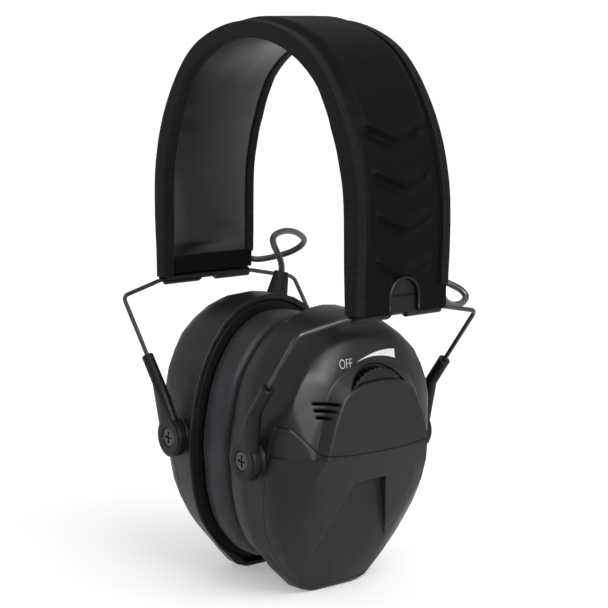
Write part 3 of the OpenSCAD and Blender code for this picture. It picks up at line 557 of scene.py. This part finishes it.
def coverHeight(along, y, depth):
    if depth > band["sameDepth"]:
        return 0.0
    side = abs(y)
    start = cover["pillowFrom"] + cover["pillowRise"] * min(1.0, side / cover["pillowHalf"])
    rise = smoothStep(start + cover["pillowEase"][0], start + cover["pillowEase"][1], along)
    lift = cover["pillow"] * (1 - smoothStep(*cover["pillowEdge"], side)) * rise
    fadeFrom, fadeTo = (cover["armReach"] + more for more in cover["armFade"])
    wide, taper = cover["ridgeTaper"]
    for tip in cover["chevrons"]:
        arm = tip + cover["armSlope"] * math.sqrt(side * side + cover["tipRound"])
        off = (along - arm) * cover["armLean"]  # square to the arm
        fade = 1 - smoothStep(fadeFrom, fadeTo, side)
        width = cover["ridgeWidth"] * (wide - taper * side)
        lift += cover["ridge"] * math.exp(-(off / width) ** 2) * fade
        lift -= cover["groove"] * math.exp(-((off + cover["grooveBelow"]) / cover["grooveWidth"]) ** 2) * fade
    lift -= cover["channel"] * math.exp(-((side - cover["channelAt"]) / cover["channelWidth"]) ** 2)
    lengthways, sideways = cover["slackScale"]
    lift += cover["slack"] * noise.noise(Vector((along * lengthways, y * sideways, 3.1)))
    return lift


def makeCover():
    half, count = cover["edge"], cover["across"]
    section = [(0, half - 2 * half * i / count) for i in range(count + 1)]
    under = cover["underAcross"]
    section += [(cover["thick"], -half + 2 * half * i / under) for i in range(under + 1)]
    piece = finishBand(sweepBand(section), "band_cover", coverHeight, finishes["cover"])
    for side in sideName:
        cutter = bmesh.new()
        bmesh.ops.create_circle(cutter, segments=window["steps"], radius=window["width"] / 2 * mm,
                                cap_ends=True)
        for vert in cutter.verts:
            if vert.co.y < 0:
                vert.co.y = -window["legDown"] * mm
        bmesh.ops.rotate(cutter, verts=cutter.verts, matrix=Matrix.Rotation(math.pi / 2, 3, "X"))
        bmesh.ops.rotate(cutter, verts=cutter.verts, matrix=Matrix.Rotation(math.pi / 2, 3, "Z"))
        top = band["centre"] - band["legLength"] + window["top"] - window["width"] / 2
        spot = Vector((side * window["cutFrom"], window["shift"], top)) * mm
        bmesh.ops.translate(cutter, verts=cutter.verts, vec=spot)
        grown = bmesh.ops.extrude_face_region(cutter, geom=cutter.faces[:])
        moved = [item for item in grown["geom"] if isinstance(item, bmesh.types.BMVert)]
        bmesh.ops.translate(cutter, verts=moved, vec=(side * window["cutThrough"] * mm, 0, 0))
        bmesh.ops.recalc_face_normals(cutter, faces=cutter.faces)
        cutAway(piece, asObject("window_cutter", cutter))
    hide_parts("headband_cover")


def makeWindowRim(side):
    # the bound edge of the window, a thin roll round its arch
    radius = window["width"] / 2
    foot = band["centre"] - band["legLength"]
    start = foot + window["rimStart"]
    top = foot + window["top"] - radius
    outline = [(-radius, start), (-radius, (foot + top) / 2)]
    for i in range(window["rimSteps"] + 1):
        angle = math.pi * i / window["rimSteps"]
        outline.append((-radius * math.cos(angle), top + radius * math.sin(angle)))
    outline += [(radius, (foot + top) / 2), (radius, start)]
    route = []
    for y, z in outline:
        outer = band["radius"] + legRadius - math.sqrt(legRadius ** 2 - (z - band["centre"]) ** 2)
        outer += between(band["outside"], z - foot) - window["rimSink"]
        route.append(Vector((side * outer, y + window["shift"], z)) * mm)
    rim = tubeAlong("window_rim_" + sideName[side], route, window["rim"] * mm, finishes["rim"])
    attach(rim, "headband")


pad = {
    "edge": 20.05, "back": 4.65, "face": 6.1, "across": 60, "backAcross": 6, "shortBy": 2.0,
    "swell": 2.7, "swellHalf": 17.2, "swellPower": 2.1, "swellRise": 5.5,
    "topSwell": 1.2, "topEase": (60, 100),
    # these start at the seam: a plain strip lies below it, with a row of stitches
    "seamAt": 8.6, "seam": 0.6, "seamShift": 0.3, "seamWidth": 0.35, "seamEnds": (15.5, 17),
    "strip": 0.12, "stripFade": (-0.8, -0.1),
    "stitch": 0.16, "stitchLength": 2.1, "stitchShift": -0.9, "stitchWidth": 0.3,
    "slack": 0.22, "slackScale": (0.07, 0.1), "slackEase": (10, 16),
}


def padHeight(along, y, depth):
    if depth < pad["face"] - band["sameDepth"]:
        return 0.0
    side = abs(y)
    above = along - pad["seamAt"]
    full = pad["swell"] + (pad["topSwell"] - pad["swell"]) * smoothStep(*pad["topEase"], along)
    bulge = max(0.0, 1 - (side / pad["swellHalf"]) ** pad["swellPower"])
    lift = full * bulge * smoothStep(0, pad["swellRise"], above)
    lift += pad["strip"] * (1 - smoothStep(*pad["stripFade"], above))
    seamed = 1 - smoothStep(*pad["seamEnds"], side)
    lift -= pad["seam"] * math.exp(-((above - pad["seamShift"]) / pad["seamWidth"]) ** 2) * seamed
    stitch = pad["stitch"] * abs(math.sin(math.pi * y / pad["stitchLength"]))
    lift += stitch * math.exp(-((above - pad["stitchShift"]) / pad["stitchWidth"]) ** 2)
    lengthways, sideways = pad["slackScale"]
    slack = pad["slack"] * noise.noise(Vector((along * lengthways, y * sideways, 8.4)))
    lift += slack * smoothStep(*pad["slackEase"], along) * bulge
    return -lift


def makePad():
    half, count = pad["edge"], pad["across"]
    section = [(pad["face"], -half + 2 * half * i / count) for i in range(count + 1)]
    back = pad["backAcross"]
    section += [(pad["back"], half - 2 * half * i / back) for i in range(back + 1)]
    piece = finishBand(sweepBand(section, pad["shortBy"]), "band_pad", padHeight, finishes["lining"])
    piece.data.materials.append(finishes["cover"])  # the flat strip below the seam
    for face in piece.data.polygons:
        if face.center.z < (band["centre"] - band["legLength"] + pad["seamAt"]) * mm:
            face.material_index = 1
    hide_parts("headband_pad")


binding = {
    # depth below the outside, and distance from the band's middle: round the outside, then back inside
    "section": [(-0.45, 17.1), (-0.47, 18.2), (-0.46, 19.6), (-0.38, 20.4), (-0.1, 20.85), (0.6, 21.0),
                (3.0, 21.02), (5.5, 21.0), (6.25, 20.85), (6.5, 20.4), (6.55, 19.6), (6.55, 18.2),
                (6.52, 17.1), (6.2, 17.1), (6.16, 20.05), (3.0, 20.12), (-0.05, 20.05), (-0.1, 17.1)],
    "frontShort": 0.8, "rearShort": 8.0, "pucker": 0.05, "puckerScale": (0.8, 0.3),
}


def bindingHeight(along, y, depth):
    # the tape puckers a little from rib to rib
    lengthways, sideways = binding["puckerScale"]
    return binding["pucker"] * noise.noise(Vector((along * lengthways, y * sideways, depth)))


def makeBinding(name, side, short):
    section = [(depth, side * y) for depth, y in binding["section"]]
    piece = finishBand(sweepBand(section, short), name, bindingHeight, finishes["tape"])
    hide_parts(name)


def tubeAlong(name, route, radius, material, sides=4, cyclic=False):
    curve = bpy.data.curves.new(name, "CURVE")
    curve.dimensions = "3D"
    line = curve.splines.new("POLY")
    line.points.add(len(route) - 1)
    for spot, point in zip(line.points, route):
        spot.co = (*point, 1)
    line.use_cyclic_u = cyclic
    curve.bevel_depth = radius
    curve.bevel_resolution = sides
    curve.use_fill_caps = True
    holder = bpy.data.objects.new(name, curve)
    scene.collection.objects.link(holder)
    mesh = bpy.data.meshes.new_from_object(holder.evaluated_get(bpy.context.evaluated_depsgraph_get()))
    bpy.data.objects.remove(holder)
    shape = bmesh.new()
    shape.from_mesh(mesh)
    bmesh.ops.recalc_face_normals(shape, faces=shape.faces)
    thing = asObject(name, shape, merge=weldWithin / 4)
    thing.data.materials.clear()
    thing.data.materials.append(material)
    return thing


def copyNode(node, name):
    shape = bmesh.new()
    shape.from_mesh(nodes[node].data)
    thing = asObject(name, shape, merge=weldWithin)
    thing.data.materials.clear()
    return thing


def evenOut(piece, voxel):
    # makes one closed skin of even faces
    remesh = piece.modifiers.new("even", "REMESH")
    remesh.mode = "VOXEL"
    remesh.voxel_size = voxel * mm
    bake(piece)


cushion = {
    "voxel": 2.4, "squeeze": 0.95, "pressure": 4.0, "frames": 20, "most": 1.5, "clear": 0.02, "middle": 48.4,
    "crease": 0.6, "creaseScale": 90, "seamAt": 12.9, "seamRoll": 0.42, "seamSteps": 140, "seamSink": 0.12,
    "castFrom": 120,
}


def puffCushion():
    # the ring of skin over foam swells under pressure, and its welded seam is drawn in afterwards
    piece = copyNode("cushion_right", "cushion_skin_right")
    low, high = [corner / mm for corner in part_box("cushion_right")]
    middle = (low.x + high.x) / 2
    for vert in piece.data.vertices:
        vert.co.x = (middle + (vert.co.x / mm - middle) * cushion["squeeze"]) * mm
    evenOut(piece, cushion["voxel"])
    before = [vert.co.copy() for vert in piece.data.vertices]
    cloth = piece.modifiers.new("swell", "CLOTH")
    cloth.settings.use_pressure = True
    cloth.settings.uniform_pressure_force = cushion["pressure"]
    cloth.settings.effector_weights.gravity = 0
    cloth.point_cache.frame_start = 1
    cloth.point_cache.frame_end = cushion["frames"]
    for step in range(1, cushion["frames"] + 1):
        scene.frame_set(step)
    bake(piece)
    scene.frame_set(1)
    for vert, old in zip(piece.data.vertices, before):
        move = vert.co - old
        if move.length > cushion["most"] * mm:
            vert.co = old + move.normalized() * cushion["most"] * mm
        vert.co.x = max(vert.co.x, (low.x + cushion["clear"]) * mm)
        vert.co.x = min(vert.co.x, (high.x - cushion["clear"]) * mm)
        crease = cushion["crease"] * mm * noise.noise(vert.co * cushion["creaseScale"])
        vert.co += (vert.co - Vector((vert.co.x, 0, cushion["middle"] * mm))).normalized() * crease
    subdivide(piece, 1)
    bake(piece)
    for face in piece.data.polygons:
        face.use_smooth = True
    return piece


def seamRoute(skin, x):
    # where the skin stands at this height, all round its outside
    tree = BVHTree.FromObject(skin, bpy.context.evaluated_depsgraph_get())
    middle = Vector((x, 0, cushion["middle"])) * mm
    route = []
    for i in range(cushion["seamSteps"]):
        angle = 2 * math.pi * i / cushion["seamSteps"]
        out = Vector((0, math.cos(angle), math.sin(angle)))
        hit = tree.ray_cast(middle + out * cushion["castFrom"] * mm, -out)
        if hit[0]:
            route.append(hit[0] - out * cushion["seamSink"] * mm)
    return route


def makeCushions():
    right = puffCushion()
    route = seamRoute(right, cushion["seamAt"])
    left = bpy.data.objects.new("cushion_skin_left", right.data.copy())
    scene.collection.objects.link(left)
    left.data.transform(Matrix.Scale(-1, 4, (1, 0, 0)))
    left.data.flip_normals()
    for side, skin in zip(sideName, (right, left)):
        skin.data.materials.append(finishes["cushion"])
        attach(skin, "cup_" + sideName[side])
        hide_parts("cushion_" + sideName[side])
        line = [(side * point.x, point.y, point.z) for point in route]
        roll = tubeAlong("cushion_seam_" + sideName[side], line, cushion["seamRoll"] * mm,
                         finishes["cushion"], sides=3, cyclic=True)
        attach(roll, "cup_" + sideName[side])


earFoam = {
    "voxel": 1.2, "skin": 2.0, "sink": 0.2, "rimSink": 0.9, "rimFrom": 0.6, "grain": 0.2, "grainScale": 400,
}


def makeEarFoam(side):
    # the thin foam over the speaker, soft along its rim
    name = "ear_foam_" + sideName[side]
    piece = copyNode(name, "speaker_foam_" + sideName[side])
    low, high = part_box(name)
    evenOut(piece, earFoam["voxel"])
    middle, size = (low + high) / 2, high - low
    for vert in piece.data.vertices:
        inner = (low.x - vert.co.x) if side > 0 else (vert.co.x - high.x)
        facing = 1 - smoothStep(0.0, earFoam["skin"] * mm, abs(inner))
        out = vert.co - middle
        out = Vector((0, out.y / size.y * 2, out.z / size.z * 2))
        sink = earFoam["sink"] + earFoam["rimSink"] * smoothStep(earFoam["rimFrom"], 1.0, out.length)
        sink += earFoam["grain"] * noise.noise(vert.co * earFoam["grainScale"])
        vert.co.x += side * facing * sink * mm
    subdivide(piece, 1)
    piece.data.materials.append(finishes["foam"])
    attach(piece, "cup_" + sideName[side])
    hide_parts(name)


# Each cable leaves its cup, loops in the air and goes back into the band. It crosses three joints, so it is
# one tube in three pieces.
cable = {
    "thick": 2.4, "perSpan": 6, "sides": 6, "pieces": 3,
    "start": [(26, 9.6, 92.6), (26, 10.9, 97.4), (26, 12.5, 103.4), (26, 13.9, 108.6)],
    "end": [(56.3, 20.5, 110.4), (56.45, 18.2, 113), (56.45, 16.5, 117)],
    "right": [(26.3, 14.9, 112.2), (28.5, 16.8, 115), (32, 20.8, 116.2), (36, 26.3, 115),
              (39.6, 32.5, 112.3), (42, 38.2, 109.6), (43.4, 42, 107.3), (44.8, 42.9, 105),
              (46.5, 39.5, 103.4), (48.3, 34.5, 103.4), (50.2, 30, 104.4), (52.2, 26, 106.1),
              (54.2, 22.8, 108.2)],
    "left": [(26, 13.6, 112.4), (26.3, 12.2, 115.9), (27.2, 11.2, 119), (28.6, 11.9, 121.2),
             (30.6, 15.2, 122.6), (32.8, 21.3, 123), (35.2, 28, 121.7), (37.6, 33.5, 119.1),
             (40.2, 36, 116.8), (43, 35.8, 114.4), (46, 33.4, 112.3), (48.8, 30.4, 111),
             (51.8, 26.8, 109.9), (54.2, 23.2, 109.5)],
}


def smoothRoute(points, steps):
    route = []
    for i in range(len(points) - 1):
        near = [Vector(point) for point in nearFour(points, i)]
        route += [curveOn(*near, j / steps) for j in range(steps)]
    return route + [Vector(points[-1])]


def makeCable(side):
    where = sideName[side]
    route = [Vector((side * p.x, p.y, p.z)) * mm
             for p in smoothRoute(cable["start"] + cable[where] + cable["end"], cable["perSpan"])]
    whole = tubeAlong("cable_" + where, route, cable["thick"] / 2 * mm, finishes["cable"], cable["sides"])
    reach = [0.0]
    for a, b in zip(route, route[1:]):
        reach.append(reach[-1] + (b - a).length)
    cuts = [0]
    for part in range(1, cable["pieces"]):
        goal = reach[-1] * part / cable["pieces"]
        cuts.append(min(range(len(reach)), key=lambda i: abs(reach[i] - goal)))
    cuts.append(len(route) - 1)
    nearest = {}
    for vert in whole.data.vertices:
        nearest[vert.index] = min(range(len(route)), key=lambda i: (route[i] - vert.co).length_squared)
    for part in range(cable["pieces"]):
        first, last = cuts[part], cuts[part + 1]
        shape = bmesh.new()
        shape.from_mesh(whole.data)
        spare = [face for face in shape.faces
                 if not all(first <= nearest[vert.index] <= last for vert in face.verts)]
        bmesh.ops.delete(shape, geom=spare, context="FACES")
        bmesh.ops.holes_fill(shape, edges=[edge for edge in shape.edges if edge.is_boundary], sides=0)
        piece = asObject(f"cable_{where}_{part + 1}", shape)
        piece.data.materials.append(finishes["cable"])
        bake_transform(piece)
        if part == 0:
            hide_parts("loop_cable_" + where)
    bpy.data.objects.remove(whole)


marks = {
    "word": "OFF", "fontSize": 4, "strokeOffset": -0.1, "wordAt": (-14.0, 85.3), "wordSize": (5.2, 3.1),
    "wedgeAcross": (-6.5, 10.8), "wedgeFoot": (86.9, 88.1, 86.3), "wedgeHeight": 3.2, "wedgeTip": 0.03,
    "wedgePower": 1.3, "castFrom": 90, "proud": 0.05, "thick": 0.06,
}


def layOnShell(name, shape, tree):
    # drops a flat shape of the Y-Z plane onto the dome along X
    for vert in shape.verts:
        hit = tree.ray_cast(Vector((marks["castFrom"] * mm, vert.co.y, vert.co.z)), Vector((-1, 0, 0)))
        vert.co.x = hit[0].x + marks["proud"] * mm
    piece = asObject(name, shape, smooth=False)
    piece.data.materials.append(finishes["white"])
    skin = piece.modifiers.new("thickness", "SOLIDIFY")
    skin.thickness = marks["thick"] * mm
    skin.offset = -1
    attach(piece, "cup_right")


def makeMarks():
    tree = BVHTree.FromObject(nodes["cup_shell_right"], bpy.context.evaluated_depsgraph_get())
    letters = bpy.data.curves.new("off_word", "FONT")
    letters.body = marks["word"]
    letters.size = marks["fontSize"] * mm
    letters.offset = marks["strokeOffset"] * mm  # thin strokes
    holder = bpy.data.objects.new("off_word", letters)
    scene.collection.objects.link(holder)
    mesh = bpy.data.meshes.new_from_object(holder.evaluated_get(bpy.context.evaluated_depsgraph_get()))
    bpy.data.objects.remove(holder)
    low = [min(vert.co[i] for vert in mesh.vertices) for i in (0, 1)]
    high = [max(vert.co[i] for vert in mesh.vertices) for i in (0, 1)]
    shape = bmesh.new()
    shape.from_mesh(mesh)
    for vert in shape.verts:
        y = (vert.co.x - low[0]) / (high[0] - low[0]) * marks["wordSize"][0] + marks["wordAt"][0]
        z = (vert.co.y - low[1]) / (high[1] - low[1]) * marks["wordSize"][1] + marks["wordAt"][1]
        vert.co = Vector((0, y, z)) * mm
    bmesh.ops.triangulate(shape, faces=shape.faces)
    bmesh.ops.subdivide_edges(shape, edges=shape.edges, cuts=1)
    layOnShell("off_word", shape, tree)

    # the mark grows along the wheel's rim, from nothing to full height
    shape = bmesh.new()
    bmesh.ops.create_grid(shape, x_segments=30, y_segments=3, size=0.5)
    left, right = marks["wedgeAcross"]
    low, middle, end = marks["wedgeFoot"]
    for vert in shape.verts:
        u, v = vert.co.x + 0.5, vert.co.y + 0.5
        foot = low * (1 - u) * (1 - 2 * u) + middle * 4 * u * (1 - u) + end * u * (2 * u - 1)
        height = marks["wedgeTip"] + (1 - marks["wedgeTip"]) * u ** marks["wedgePower"]
        vert.co = Vector((0, left + (right - left) * u, foot + marks["wedgeHeight"] * v * height)) * mm
    bmesh.ops.recalc_face_normals(shape, faces=shape.faces)
    if shape.faces[:][0].normal.x < 0:
        bmesh.ops.reverse_faces(shape, faces=shape.faces)
    layOnShell("volume_mark", shape, tree)


makeCover()
makePad()
makeBinding("binding_front", -1, binding["frontShort"])
makeBinding("binding_rear", 1, binding["rearShort"])
for side in sideName:
    makeWindowRim(side)
print("soft band made")
makeCushions()
for side in sideName:
    makeEarFoam(side)
print("cushions made")
for side in sideName:
    makeCable(side)
makeMarks()
print("cables and print made")
